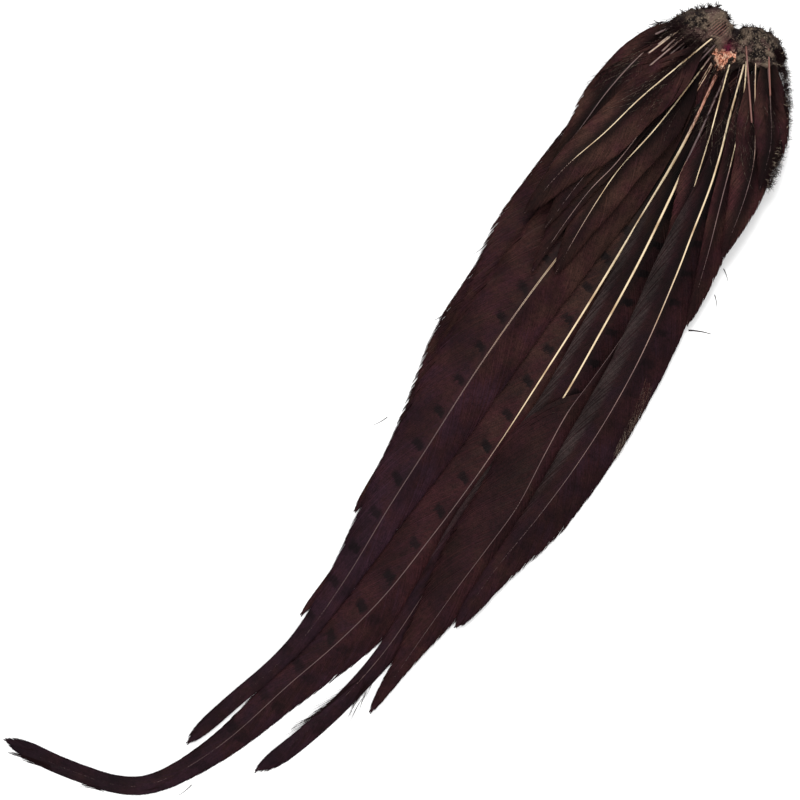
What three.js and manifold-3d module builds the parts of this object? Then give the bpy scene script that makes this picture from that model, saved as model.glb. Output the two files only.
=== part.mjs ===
// A whole pheasant tail, dyed dark and dried, lying on its back with the underside of the feathers
// up. Eighteen tail feathers and the cut quills of a few covert feathers grow from one piece of
// dried skin, the tail root. Millimetres, +Z up, +X from the root towards the feather tips. The
// origin is on the flat side that the root rests on.
import * as THREE from 'three';
import { mergeVertices } from 'three/addons/utils/BufferGeometryUtils.js';
import Module from 'manifold-3d';

const wasm = await Module();
wasm.setup();

// Tail root: a pad of dried skin with two lobes, seen from above as a closed outline.
const ROOT_OUTLINE = [
  [8, -20], [7, -12], [7, -5], [10, 0], [12, 5], [7, 9], [2, 14], [0, 20], [-1, 27], [-6, 31],
  [-13, 29], [-18, 23], [-20, 16], [-19, 9], [-15, 4], [-13, -2], [-16, -9], [-17, -15],
  [-12, -21], [-6, -27], [1, -30], [7, -27],
];
const ROOT_MIDDLE = [-4, 0];
// The pad's profile: how far out its wall stands, as a share of the outline, at each height.
const ROOT_PROFILE = [[0.93, 0], [1, 2.5], [1, 8], [0.93, 12], [0.76, 15.5], [0.45, 17.5]];
const ROOT_TOP = 18.5;
const ROOT_OUTLINE_STEPS = 38;

// Feathers: the web is one thin sheet, and the shaft stands proud of it on the underside.
const WEB_THICKNESS = 0.45;
const SHAFT_RISE = 1.25;          // at the root, thinning to nothing at the tip
const SHAFT_HALF_WIDTH = 1.35;    // at the root
const SHAFT_TIP_HALF_WIDTH = 0.25;
const SHAFT_EDGE = 0.25;          // how high the shaft's edges stand, as a share of its ridge
const STATION_PITCH = 21;         // along a feather
const ROOT_STATION_PITCH = 9;     // along its bare quill
const WEB_OPENING = 42;           // length over which the web opens from the bare quill
const TIP_ROUNDING = 0.03;        // share of the length that rounds off at the tip

// How the feathers lie on each other.
const CLEARANCE = 0.45;           // between one feather and the next
const QUILL_LIFT = 3.4;           // height of the lowest quills where they leave the root
const QUILL_DROP = [14, 75];      // they come down to the table between these distances
// For a bare quill near the root and for an open web: the slope at which it sags beside what it
// lies on, and how close a thing has to be to hold it up.
const SAG = [0.4, 0.2];
const REACH = [2.4, 9];
const WEBS_FROM = [10, 60];

// The feathers from the lowest to the highest. Left and right are as seen from above with the tips
// towards the viewer, so left is -Y. path: the shaft in plan. webs: the width of the web on the +Y
// side and on the -Y side of the shaft. bare: the length of bare quill, on the same two sides.
// taper: where along the feather the web starts and stops narrowing, and the share of its width
// that is left at the tip. rightTaper: the same for the +Y side, where it differs.
const TAIL_FEATHERS = [
  { name: 'tail_feather_left_3', webs: [18, 22.5], bare: [26, 26], taper: [0.62, 0.98, 0.15],
    path: [[-2, -11], [53, -18], [101, -25], [170, -30], [239, -33], [303, -39]] },
  { name: 'tail_feather_left_2', webs: [18, 19], bare: [26, 26], taper: [0.6, 0.98, 0.12],
    path: [[-2, -6], [56, -13], [102, -18], [149, -20], [243, -24], [290, -26], [330, -30],
      [364, -35]] },
  { name: 'tail_feather_right_1', webs: [17, 20], bare: [28, 28], taper: [0.42, 0.88, 0.25],
    rightTaper: [0.53, 0.92, 0.24],
    path: [[2, 3], [51, 8], [100, 9], [150, 9], [196, 8], [234, 7], [265, 5], [303, 1], [333, -3],
      [366, -11], [400, -22], [434, -32], [454, -40], [474, -51], [484, -60], [491, -73],
      [495, -89], [498, -107], [500, -133]] },
  { name: 'tail_feather_left_4', webs: [16, 20.5], bare: [26, 26], taper: [0.65, 1, 0.2],
    path: [[-4, -16], [47, -24], [88, -30], [131, -34], [171, -37], [211, -46]] },
  { name: 'tail_feather_right_5', webs: [8, 16], bare: [26, 26], taper: [0.7, 1, 0.35],
    path: [[-4, 15], [32, 27], [67, 37], [108, 47], [152, 53], [187, 56], [216, 59]] },
  { name: 'tail_feather_left_1', webs: [18, 23], bare: [28, 28], taper: [0.42, 0.89, 0.2],
    path: [[0, -1], [30, -1], [60, -5], [97, -12], [125, -16], [162, -20], [209, -23],
      [253, -24], [292, -25], [337, -25], [375, -28], [399, -34], [420, -41], [452, -51]] },
  { name: 'tail_feather_right_2', webs: [18, 10], bare: [26, 26], taper: [0.5, 0.86, 0.34],
    path: [[2, 7], [31, 11], [58, 14], [84, 17], [115, 20], [156, 22], [206, 23], [244, 19],
      [283, 15], [321, 14], [358, 12], [391, 6], [418, -2], [446, -13]] },
  { name: 'tail_feather_right_3', webs: [16.5, 21], bare: [28, 184], taper: [0.66, 1, 0.2],
    path: [[-1, 11], [24, 19], [57, 27], [89, 32], [151, 33], [180, 31], [202, 29], [226, 30],
      [258, 32], [283, 30], [313, 27], [340, 25], [389, 22]] },
  { name: 'tail_feather_right_6', webs: [9, 9], bare: [24, 24], taper: [0.6, 1, 0.35],
    path: [[-2, 5], [23, 12], [41, 17], [61, 22], [85, 28], [112, 31]] },
  { name: 'tail_feather_right_4', webs: [15, 18], bare: [26, 26], taper: [0.6, 0.95, 0.3],
    rightTaper: [0.76, 1, 0.35],
    path: [[-3, 12], [17, 18], [32, 22], [49, 27], [65, 31], [92, 36], [113, 40], [155, 46],
      [193, 48], [226, 47], [257, 44], [293, 39], [328, 37]] },
  { name: 'tail_feather_left_9', webs: [12, 10], bare: [18, 18], taper: [0.5, 1, 0.4],
    path: [[-6, -21], [9, -30], [28, -36], [50, -40], [73, -42], [95, -45]] },
  { name: 'tail_feather_left_5', webs: [11, 11], bare: [24, 24], taper: [0.6, 1, 0.35],
    path: [[2, -3], [31, -6], [55, -9], [81, -14], [97, -15], [125, -15], [144, -14]] },
  { name: 'tail_feather_left_6', webs: [9, 11], bare: [24, 24], taper: [0.6, 1, 0.35],
    path: [[-3, -6], [13, -9], [29, -12], [53, -14], [80, -17], [97, -21], [114, -23],
      [149, -25]] },
  { name: 'tail_feather_left_7', webs: [9, 11], bare: [22, 22], taper: [0.6, 1, 0.35],
    path: [[-7, -3], [19, -9], [43, -15], [60, -21], [76, -25], [98, -28], [127, -31]] },
  { name: 'tail_feather_left_8', webs: [13, 10], bare: [20, 20], taper: [0.6, 1, 0.35],
    path: [[-11, -4], [2, -9], [22, -16], [46, -24], [69, -30], [94, -38], [126, -44]] },
  { name: 'tail_feather_right_7', webs: [11.5, 12], bare: [22, 22], taper: [0.6, 1, 0.35],
    path: [[-8, 9], [12, 20], [23, 25], [47, 33], [70, 40], [95, 48], [131, 58]] },
  { name: 'tail_feather_right_8', webs: [10, 10], bare: [20, 20], taper: [0.6, 1, 0.35],
    path: [[-12, 12], [7, 23], [22, 32], [42, 43], [61, 49], [93, 55]] },
  { name: 'tail_feather_right_9', webs: [9.5, 9], bare: [16, 16], taper: [0.55, 1, 0.4],
    path: [[-14, 17], [-1, 26], [13, 36], [30, 46], [53, 53]] },
];

// The quills left where covert feathers were cut off, from the lowest to the highest: the ends in
// plan, how far the outer end drops below the inner one, and the radius.
const CUT_QUILL_SIDES = 7;
const CUT_QUILLS = [
  { name: 'cut_quill_left_1', from: [1, -27], to: [11, -34], drop: 1.5, radius: 0.7 },
  { name: 'cut_quill_left_2', from: [1, -24.5], to: [15, -30], drop: 1, radius: 0.7 },
  { name: 'cut_quill_left_3', from: [1, -22], to: [17, -26.5], drop: 1, radius: 0.75 },
  { name: 'cut_quill_left_4', from: [2, -17], to: [16, -22], drop: 1, radius: 0.65 },
  { name: 'cut_quill_left_5', from: [2, -24], to: [22, -32], drop: 0.5, radius: 0.7 },
  { name: 'cut_quill_left_6', from: [3, -20], to: [27, -28], drop: 1, radius: 0.7 },
  { name: 'cut_quill_right_1', from: [-6, 9], to: [26, 32], drop: 1, radius: 0.6 },
  { name: 'cut_quill_right_2', from: [-12, 19], to: [9, 33], drop: 1, radius: 0.55 },
  { name: 'cut_quill_right_3', from: [-13, 24], to: [-2, 33], drop: 0.6, radius: 0.5 },
];

// A quill sits in the root in a socket of its own, which clears it all round.
const SOCKET_CLEARANCE = 0.32;
const SOCKET_END = 24;            // the sockets run past the front of the root

function smooth(from, to, value) {
  return THREE.MathUtils.smoothstep(value, from, to);
}

// A closed solid through the sections of a feather.
function loft(sections) {
  const count = sections[0].length;
  const positions = sections.flat().flatMap((point) => point.toArray());
  const faces = [];
  for (let row = 0; row + 1 < sections.length; row += 1) {
    for (let column = 0; column < count; column += 1) {
      const a = row * count + column;
      const b = row * count + ((column + 1) % count);
      faces.push(a, b + count, b, a, a + count, b + count);
    }
  }
  const last = (sections.length - 1) * count;
  for (const [a, b, c] of SECTION_FACES) {
    faces.push(a, b, c, last + a, last + c, last + b);
  }
  const geometry = new THREE.BufferGeometry();
  geometry.setAttribute('position', new THREE.Float32BufferAttribute(positions, 3));
  geometry.setIndex(faces);
  return geometry;
}

// Where a feather's shaft runs, and how wide its web is on one side at one place.
function shaftOf(feather) {
  const points = feather.path.map(([x, y]) => new THREE.Vector3(x, y, 0));
  return new THREE.CatmullRomCurve3(points, false, 'centripetal');
}

function webWidth(feather, side, along, length) {
  const share = THREE.MathUtils.clamp(along / length, 0, 1);
  const taper = (side === 0 && feather.rightTaper) || feather.taper;
  const [narrowFrom, narrowTo, tipShare] = taper;
  const opening = smooth(feather.bare[side], feather.bare[side] + WEB_OPENING, along);
  const narrowing = 1 - (1 - tipShare) * smooth(narrowFrom, narrowTo, share);
  const past = Math.max(0, (share - 1 + TIP_ROUNDING) / TIP_ROUNDING);
  const rounding = Math.sqrt(Math.max(0, 1 - past * past));
  const width = feather.webs[side] * opening * narrowing * rounding;
  return Math.max(width, shaftHalfWidth(share) + 0.35);
}

function shaftHalfWidth(share) {
  return THREE.MathUtils.lerp(SHAFT_HALF_WIDTH, SHAFT_TIP_HALF_WIDTH, Math.sqrt(share));
}

function shaftRise(share) {
  return SHAFT_RISE * (1 - share) ** 1.3;
}

// The height at which a feather rests at one place: it lies on the highest thing within reach of
// that place, and sags away from it towards the table.
function restingHeight(x, y, pile) {
  let height = QUILL_LIFT * (1 - smooth(...QUILL_DROP, x));
  const open = smooth(...WEBS_FROM, x);
  const reach = THREE.MathUtils.lerp(...REACH, open);
  const sag = THREE.MathUtils.lerp(...SAG, open);
  for (const point of pile) {
    const away = Math.hypot(x - point.x, y - point.y) - reach;
    height = Math.max(height, point.z + CLEARANCE - sag * Math.max(0, away));
  }
  return height;
}

// One section across a feather: seven points from the edge of its left web over the shaft to the
// right edge, and five back along the side that faces the table. grow makes it larger all round,
// for a socket. The faces close a section at the end of a feather.
const SECTION_TOP_POINTS = 7;
const SECTION_FACES = [[0, 1, 11], [1, 10, 11], [1, 2, 10], [2, 9, 10], [2, 3, 9], [3, 4, 9],
  [4, 5, 9], [5, 8, 9], [5, 6, 8], [6, 7, 8]];

function sectionAt(feather, curve, along, pile, grow = 0) {
  const length = curve.getLength();
  const share = THREE.MathUtils.clamp(along / length, 0, 1);
  const heading = curve.getTangentAt(share);
  const centre = curve.getPointAt(share).addScaledVector(heading, Math.min(along, 0));
  const sideways = new THREE.Vector3(-heading.y, heading.x, 0);
  const shaft = shaftHalfWidth(share) + grow;
  const [right, left] = [0, 1].map((side) => webWidth(feather, side, along, length) + grow);
  const top = [[-left, 0], [-(left + shaft) / 2, 0], [-shaft, SHAFT_EDGE], [0, 1],
    [shaft, SHAFT_EDGE], [(right + shaft) / 2, 0], [right, 0]];
  const bottom = [right, (right + shaft) / 2, 0, -(left + shaft) / 2, -left];
  const place = (offset, rise) => {
    const point = centre.clone().addScaledVector(sideways, offset);
    point.z = restingHeight(point.x, point.y, pile) + rise;
    return point;
  };
  const rise = shaftRise(share);
  return [
    ...top.map(([offset, part]) => place(offset, WEB_THICKNESS + rise * part + grow)),
    ...bottom.map((offset) => place(offset, -grow)),
  ];
}

// The distances along a feather at which its sections stand, closer together on the bare quill.
function stationsOf(feather, length, first, last) {
  const bareEnd = Math.min(feather.bare[0], last);
  const bareSteps = Math.ceil((bareEnd - first) / ROOT_STATION_PITCH);
  const webSteps = Math.ceil((last - bareEnd) / STATION_PITCH);
  const stations = [];
  for (let step = 0; step < bareSteps; step += 1) {
    stations.push(first + (bareEnd - first) * (step / bareSteps));
  }
  for (let step = 0; step <= webSteps; step += 1) {
    stations.push(bareEnd + (last - bareEnd) * (step / Math.max(webSteps, 1)));
  }
  return stations;
}

function featherSolid(feather, pile, first, last, grow = 0) {
  const curve = shaftOf(feather);
  const stations = stationsOf(feather, curve.getLength(), first, last);
  return loft(stations.map((along) => sectionAt(feather, curve, along, pile, grow)));
}

// The points that hold up whatever is laid on a feather: its upper side, sampled closely.
const PILE_STEP = 3;
function upperSide(feather, pile) {
  const curve = shaftOf(feather);
  const length = curve.getLength();
  const samples = [];
  for (let along = 0; along <= length; along += PILE_STEP) {
    samples.push(...sectionAt(feather, curve, along, pile).slice(0, SECTION_TOP_POINTS));
  }
  return samples;
}

// Points along the middle of a cut quill, at the height at which all of it clears what it is over.
const CUT_QUILL_SAMPLES = 12;
const CUT_QUILL_HEIGHT = 7;       // where nothing is under it
const CUT_QUILL_REACH = 2.1;
function cutQuillLine({ from, to, drop, radius }, pile) {
  const start = new THREE.Vector3(...from, 0);
  const end = new THREE.Vector3(...to, -drop);
  const line = [];
  for (let sample = 0; sample <= CUT_QUILL_SAMPLES; sample += 1) {
    line.push(start.clone().lerp(end, sample / CUT_QUILL_SAMPLES));
  }
  const under = (point, other) => Math.hypot(point.x - other.x, point.y - other.y) < CUT_QUILL_REACH;
  const lifts = line.flatMap((point) => pile.filter((other) => under(point, other))
    .map((other) => other.z + CLEARANCE - point.z));
  const lift = Math.max(CUT_QUILL_HEIGHT, ...lifts);
  return line.map((point) => point.setZ(point.z + lift + radius));
}

// A cut quill: a plain tapering rod, square at both ends.
const CUT_QUILL_TAPER = 0.85;
function cutQuillSolid(line, radius, grow = 0) {
  const start = line[0].clone();
  const end = line.at(-1);
  const direction = end.clone().sub(start).normalize();
  const rod = new THREE.CylinderGeometry(
    radius * CUT_QUILL_TAPER + grow, radius + grow, start.distanceTo(end), CUT_QUILL_SIDES);
  rod.applyQuaternion(new THREE.Quaternion().setFromUnitVectors(
    new THREE.Vector3(0, 1, 0), direction));
  rod.translate(...start.add(end).multiplyScalar(0.5).toArray());
  return rod;
}

// The pad of the root before its sockets are cut.
function rootPad() {
  const outline = new THREE.CatmullRomCurve3(
    ROOT_OUTLINE.map(([x, y]) => new THREE.Vector3(x, y, 0)), true, 'centripetal');
  const edge = outline.getSpacedPoints(ROOT_OUTLINE_STEPS).slice(0, -1);
  const middle = new THREE.Vector3(...ROOT_MIDDLE, 0);
  const rings = ROOT_PROFILE.map(([share, height]) => edge.map((point) => {
    const moved = middle.clone().lerp(point, share);
    return moved.setZ(height);
  }));
  const positions = rings.flat().flatMap((point) => point.toArray());
  const count = edge.length;
  const faces = [];
  for (let ring = 0; ring + 1 < rings.length; ring += 1) {
    for (let step = 0; step < count; step += 1) {
      const a = ring * count + step;
      const b = ring * count + ((step + 1) % count);
      faces.push(a, b, b + count, a, b + count, a + count);
    }
  }
  const crown = positions.length / 3;
  positions.push(...ROOT_MIDDLE, ROOT_TOP);
  const lastRing = (rings.length - 1) * count;
  for (let step = 0; step < count; step += 1) {
    faces.push(lastRing + step, lastRing + ((step + 1) % count), crown);
  }
  const flat = rings[0].map((point) => new THREE.Vector2(point.x, point.y));
  for (const [a, b, c] of THREE.ShapeUtils.triangulateShape(flat, [])) {
    faces.push(a, c, b);
  }
  const geometry = new THREE.BufferGeometry();
  geometry.setAttribute('position', new THREE.Float32BufferAttribute(positions, 3));
  geometry.setIndex(faces);
  return geometry;
}

function toManifold(geometry) {
  const bare = geometry.clone();
  bare.deleteAttribute('normal');
  bare.deleteAttribute('uv');
  const merged = mergeVertices(bare, 1e-4);
  return new wasm.Manifold(new wasm.Mesh({
    numProp: 3,
    vertProperties: new Float32Array(merged.attributes.position.array),
    triVerts: new Uint32Array(merged.index.array),
  }));
}

function toGeometry(solid) {
  const mesh = solid.getMesh();
  const geometry = new THREE.BufferGeometry();
  geometry.setAttribute('position', new THREE.Float32BufferAttribute(mesh.vertProperties, 3));
  geometry.setIndex([...mesh.triVerts]);
  return geometry;
}

const FEATHER_DYE = new THREE.MeshStandardMaterial({ color: '#2e1c1e', roughness: 0.75 });
const QUILL_HORN = new THREE.MeshStandardMaterial({ color: '#b49c7c', roughness: 0.45 });
const DRIED_SKIN = new THREE.MeshStandardMaterial({ color: '#4f443c', roughness: 0.85 });

function named(name, geometry, material) {
  const mesh = new THREE.Mesh(geometry, material);
  mesh.name = name;
  return mesh;
}

const tail = new THREE.Group();
const pile = [];
let root = toManifold(rootPad());

for (const feather of TAIL_FEATHERS) {
  const below = [...pile];
  const length = shaftOf(feather).getLength();
  const tip = length * (1 - TIP_ROUNDING * 0.06);
  tail.add(named(feather.name, featherSolid(feather, below, 0, tip), FEATHER_DYE));
  const socket = featherSolid(feather, below, -SOCKET_CLEARANCE, SOCKET_END, SOCKET_CLEARANCE);
  root = root.subtract(toManifold(socket));
  pile.push(...upperSide(feather, below));
}

for (const { name, radius, ...ends } of CUT_QUILLS) {
  const line = cutQuillLine({ ...ends, radius }, pile);
  tail.add(named(name, cutQuillSolid(line, radius), QUILL_HORN));
  root = root.subtract(toManifold(cutQuillSolid(line, radius, SOCKET_CLEARANCE)));
  pile.push(...line.map((point) => point.clone().setZ(point.z + radius)));
}

tail.add(named('tail_root', toGeometry(root), DRIED_SKIN));

export default tail;
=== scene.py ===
import math

import bmesh
import bpy
import numpy as np
from mathutils import Matrix, Vector, noise
from mathutils.bvhtree import BVHTree


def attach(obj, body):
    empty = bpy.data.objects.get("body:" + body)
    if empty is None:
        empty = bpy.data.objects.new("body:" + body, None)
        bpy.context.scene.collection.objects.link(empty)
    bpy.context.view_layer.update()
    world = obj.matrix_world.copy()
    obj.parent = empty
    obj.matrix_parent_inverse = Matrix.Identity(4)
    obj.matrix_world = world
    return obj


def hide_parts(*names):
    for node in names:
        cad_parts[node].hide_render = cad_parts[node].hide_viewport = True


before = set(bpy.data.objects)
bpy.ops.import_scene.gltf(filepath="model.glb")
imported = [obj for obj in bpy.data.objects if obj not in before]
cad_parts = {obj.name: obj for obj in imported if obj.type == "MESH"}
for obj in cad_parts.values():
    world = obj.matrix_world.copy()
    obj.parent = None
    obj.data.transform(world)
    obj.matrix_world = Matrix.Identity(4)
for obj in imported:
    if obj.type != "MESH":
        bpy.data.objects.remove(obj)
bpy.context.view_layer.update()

MM = 0.001


# ---- The two long middle feathers ----------------------------------------------------------------
# Horn shafts, grooved underneath and ivory where the dye didn't take, with a web of several
# hundred barbs on each side. The barbs leave the shaft steeply and bend along it towards the tip.

class Field:
    """A value that flows through a node tree, so that a formula can be written as one."""

    def __init__(self, tree, socket):
        self.tree, self.socket = tree, socket

    def math(self, operation, *others):
        vector = self.socket.type == "VECTOR"
        made = self.tree.nodes.new("ShaderNodeVectorMath" if vector else "ShaderNodeMath")
        made.operation = operation
        for socket, value in zip(made.inputs, (self, *others)):
            plug(self.tree, value, socket)
        return Field(self.tree, made.outputs[0])

    def scaled(self, factor):
        made = self.tree.nodes.new("ShaderNodeVectorMath")
        made.operation = "SCALE"
        plug(self.tree, self, made.inputs[0])
        plug(self.tree, factor, made.inputs["Scale"])
        return Field(self.tree, made.outputs[0])

    def parts(self):
        made = self.tree.nodes.new("ShaderNodeSeparateXYZ")
        plug(self.tree, self, made.inputs[0])
        return [Field(self.tree, socket) for socket in made.outputs]

    def ramp(self, start, end, low=0.0, high=1.0):
        """Goes smoothly from low to high as this value goes from start to end."""
        made = self.tree.nodes.new("ShaderNodeMapRange")
        made.interpolation_type = "SMOOTHSTEP"
        for name, value in zip(("Value", "From Min", "From Max", "To Min", "To Max"),
                               (self, start, end, low, high)):
            plug(self.tree, value, made.inputs[name])
        return Field(self.tree, made.outputs["Result"])

    def __add__(self, other):
        return self.math("ADD", other)

    def __sub__(self, other):
        return self.math("SUBTRACT", other)

    def __rsub__(self, other):
        return (self * -1.0) + other

    def __mul__(self, other):
        return self.math("MULTIPLY", other)

    def __truediv__(self, other):
        return self.math("DIVIDE", other)

    def __pow__(self, other):
        return self.math("POWER", other)

    def min(self, other):
        return self.math("MINIMUM", other)

    def max(self, other):
        return self.math("MAXIMUM", other)

    __radd__, __rmul__ = __add__, __mul__


def plug(tree, value, socket):
    """Links a field or a socket to an input, or sets the input to a plain value."""
    if isinstance(value, Field):
        value = value.socket
    if isinstance(value, bpy.types.NodeSocket):
        tree.links.new(value, socket)
    else:
        socket.default_value = value


def node(tree, kind, options=None, **inputs):
    """Adds a node with its options and its inputs, which are named with _ for a space."""
    made = tree.nodes.new(kind)
    for name, value in (options or {}).items():
        setattr(made, name, value)
    for name, value in inputs.items():
        wanted = name.replace("_", " ").strip()
        plug(tree, value, next(s for s in made.inputs if s.name == wanted and s.enabled))
    return made


def output(made, name):
    return Field(made.id_data, next(s for s in made.outputs if s.name == name and s.enabled))


def add_sockets(tree, way, sockets):
    for name, kind in sockets.items():
        tree.interface.new_socket(name, in_out=way, socket_type="NodeSocket" + kind)


def vector_of(tree, x, y, z):
    return output(node(tree, "ShaderNodeCombineXYZ", X=x, Y=y, Z=z), "Vector")


def attribute(tree, name, kind="FLOAT"):
    made = node(tree, "GeometryNodeInputNamedAttribute", {"data_type": kind}, Name=name)
    return output(made, "Attribute")


def store(tree, geometry, name, value, kind="FLOAT"):
    options = {"data_type": kind, "domain": "POINT"}
    made = node(tree, "GeometryNodeStoreNamedAttribute", options, Geometry=geometry, Name=name,
                Value=value)
    return made.outputs["Geometry"]


def along_shaft(tree, shaft, length, value=0.0, kind="FLOAT"):
    """Place, direction and an attribute of the shaft at a distance along it."""
    return node(tree, "GeometryNodeSampleCurve",
                {"mode": "LENGTH", "data_type": kind, "use_all_curves": False},
                Curves=shaft, Value=value, Length=length)


def height_on(tree, solid, place):
    """How high the solid web lies at a place, or at the nearest place where it does."""
    x, y, _ = place.parts()
    above = vector_of(tree, x, y, 1.0)
    ray = node(tree, "GeometryNodeRaycast", Target_Geometry=solid, Source_Position=above,
               Ray_Direction=(0.0, 0.0, -1.0), Ray_Length=2.0)
    near = node(tree, "GeometryNodeProximity", {"target_element": "FACES"}, Geometry=solid,
                Sample_Position=place)
    hit = output(ray, "Hit Position").parts()[2]
    beside = output(near, "Position").parts()[2]
    height = node(tree, "GeometryNodeSwitch", {"input_type": "FLOAT"},
                  Switch=output(ray, "Is Hit"), False_=beside, True_=hit)
    return output(height, "Output")


BARB_SEGMENTS = 7
BARB_PITCH = BARB_WIDTH = 0.85
BARB_HEIGHT = 0.13
BARB_BEND = 1.75        # 1 would be a straight barb
LOCK_LENGTH = 8.0       # along the shaft, of barbs that cling together
SHAFT_SIDES = 12
SHAFT_SUNK = 0.72       # share of its radius
SHAFT_SEGMENTS = 120
SHEET_ROWS = 90
SHEET_BELOW = 0.16      # the tops of the barbs
SHEET_THICKNESS = 0.06


def feather_tree():
    """A shaft line becomes a grooved shaft and, on each side, a web of separate barbs."""
    tree = bpy.data.node_groups.new("feather", "GeometryNodeTree")
    add_sockets(tree, "INPUT", {
        "Shaft Line": "Geometry", "Solid Web": "Object", "Barb Pitch": "Float",
        "Barb Reach": "Float", "Barb Width": "Float", "Bare Right": "Float",
        "Bare Left": "Float", "Looseness": "Float", "Groove": "Float", "Seed": "Int",
        "Web Material": "Material", "Shaft Material": "Material"})
    add_sockets(tree, "OUTPUT", {"Feather": "Geometry"})
    given = tree.nodes.new("NodeGroupInput").outputs
    size = {socket.name: Field(tree, socket) for socket in given if socket.name}
    solid = node(tree, "GeometryNodeObjectInfo", Object=given["Solid Web"]).outputs["Geometry"]
    shaft = node(tree, "GeometryNodeMeshToCurve", Mesh=given["Shaft Line"]).outputs["Curve"]
    total = output(node(tree, "GeometryNodeCurveLength", Curve=shaft), "Length")
    index = output(tree.nodes.new("GeometryNodeInputIndex"), "Index")

    def chance(number, identity=index, low=0.0, high=1.0):
        made = node(tree, "FunctionNodeRandomValue", {"data_type": "FLOAT"}, Min=low, Max=high,
                    ID=identity, Seed=size["Seed"] + float(number))
        return output(made, "Value")

    def web(side, bare, web_name, first_seed):
        """The barbs of one side: prisms on points, then bent and laid on the solid web."""
        count = ((total - bare) / size["Barb Pitch"]).math("FLOOR")
        points = node(tree, "GeometryNodePoints", Count=count).outputs["Points"]
        root = bare + (index + chance(first_seed) * 0.7) * size["Barb Pitch"]
        left_over = (total + 0.5 * MM - root).max(2.0 * MM)
        reach = size["Barb Reach"] * chance(first_seed + 1, low=0.93, high=1.07)
        run = left_over * (1.0 - ((reach / left_over) * -1.0).math("EXPONENT"))
        lock = root / (LOCK_LENGTH * MM) + chance(first_seed + 2, low=0.0, high=0.35)
        lock_number = lock.math("FLOOR")
        lock_chance = chance(first_seed + 3, identity=lock_number)
        for name, value in {"barb_root": root, "barb_run": run, "lock_chance": lock_chance,
                            "lock_place": lock.math("FRACT") - 0.5,
                            "chance": chance(first_seed + 4)}.items():
            points = store(tree, points, name, value)
        prism = node(tree, "GeometryNodeMeshCylinder", {"fill_type": "NGON"}, Vertices=3,
                     Side_Segments=BARB_SEGMENTS, Radius=1.0, Depth=1.0).outputs["Mesh"]
        barbs = node(tree, "GeometryNodeInstanceOnPoints", Points=points,
                     Instance=prism).outputs["Instances"]
        barbs = node(tree, "GeometryNodeRealizeInstances", Geometry=barbs).outputs["Geometry"]

        rise, across, along = output(tree.nodes.new("GeometryNodeInputPosition"),
                                     "Position").parts()
        part = along + 0.5
        root, run = attribute(tree, "barb_root"), attribute(tree, "barb_run")
        luck, lock_luck = attribute(tree, "chance"), attribute(tree, "lock_chance")
        looseness = size["Looseness"]
        pull = attribute(tree, "lock_place") * lock_luck * lock_luck * looseness * (-4.0 * MM)
        distance = root + run * part + pull * part * part
        at_tip = along_shaft(tree, shaft, (root + run).min(total),
                             attribute(tree, web_name, "FLOAT_VECTOR"), "FLOAT_VECTOR")
        width = output(at_tip, "Value").parts()[0]
        width = width * (1.0 + (lock_luck - 0.5) * looseness * 0.05 + (luck - 0.5) * 0.03)
        thickness = output(along_shaft(tree, shaft, root, attribute(tree, "shaft_radius")),
                           "Value")
        start = thickness * 0.6
        sideways = start + (width - start) * (1.0 - (1.0 - part).max(0.0) ** BARB_BEND)
        inside = distance.min(total).max(0.0)
        there = along_shaft(tree, shaft, inside, attribute(tree, web_name, "FLOAT_VECTOR"),
                            "FLOAT_VECTOR")
        middle, heading = output(there, "Position"), output(there, "Tangent")
        _, bars, ash = output(there, "Value").parts()
        hx, hy, _ = heading.parts()
        outward = vector_of(tree, hy * -side, hx * side, 0.0)
        beyond = heading.scaled(distance - inside)
        centre = middle + beyond + outward.scaled(sideways)
        beside_shaft = middle + beyond + outward.scaled(sideways.max(thickness + 0.5 * MM))
        level = height_on(tree, solid, beside_shaft)
        slope = BARB_BEND * (1.0 - part).max(0.0) ** (BARB_BEND - 1.0)
        direction = (heading.scaled(run) + outward.scaled(width * slope)).math("NORMALIZE")
        dx, dy, _ = direction.parts()
        flank = vector_of(tree, dy, dx * -1.0, 0.0)
        narrowing = part * part * 0.3 + part ** 10.0 * 0.6
        half = size["Barb Width"] * 0.5 * (1.0 - narrowing)
        lift = (luck - 0.5) * 0.1 * MM + part * part * (luck - 0.35) * looseness * 0.4 * MM
        top = level + lift + rise * BARB_HEIGHT * MM
        x, y, _ = (centre + flank.scaled(across * half)).parts()
        place = vector_of(tree, x, y, top.max(0.12 * MM + rise * 0.05 * MM))

        return placed(barbs, place, distance, sideways * side, part, bars, ash, inside)

    def placed(geometry, place, distance, across, part, bars, ash, inside):
        """Stores what the web's material reads, and moves the points to their places."""
        phase = along_shaft(tree, shaft, inside, attribute(tree, "bar_phase"))
        dye = along_shaft(tree, shaft, inside, attribute(tree, "dye", "FLOAT_VECTOR"),
                          "FLOAT_VECTOR")
        for name, value, kind in (
                ("vane_along", distance, "FLOAT"), ("vane_across", across, "FLOAT"),
                ("barb_part", part, "FLOAT"), ("bars", bars, "FLOAT"), ("ash", ash, "FLOAT"),
                ("bar_phase", output(phase, "Value"), "FLOAT"),
                ("dye", output(dye, "Value"), "FLOAT_VECTOR")):
            geometry = store(tree, geometry, name, value, kind)
        moved = node(tree, "GeometryNodeSetPosition", Geometry=geometry, Position=place)
        flat = node(tree, "GeometryNodeSetShadeSmooth", Geometry=moved.outputs["Geometry"],
                    Shade_Smooth=False)
        return node(tree, "GeometryNodeSetMaterial", Geometry=flat.outputs["Geometry"],
                    Material=given["Web Material"]).outputs["Geometry"]

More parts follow.
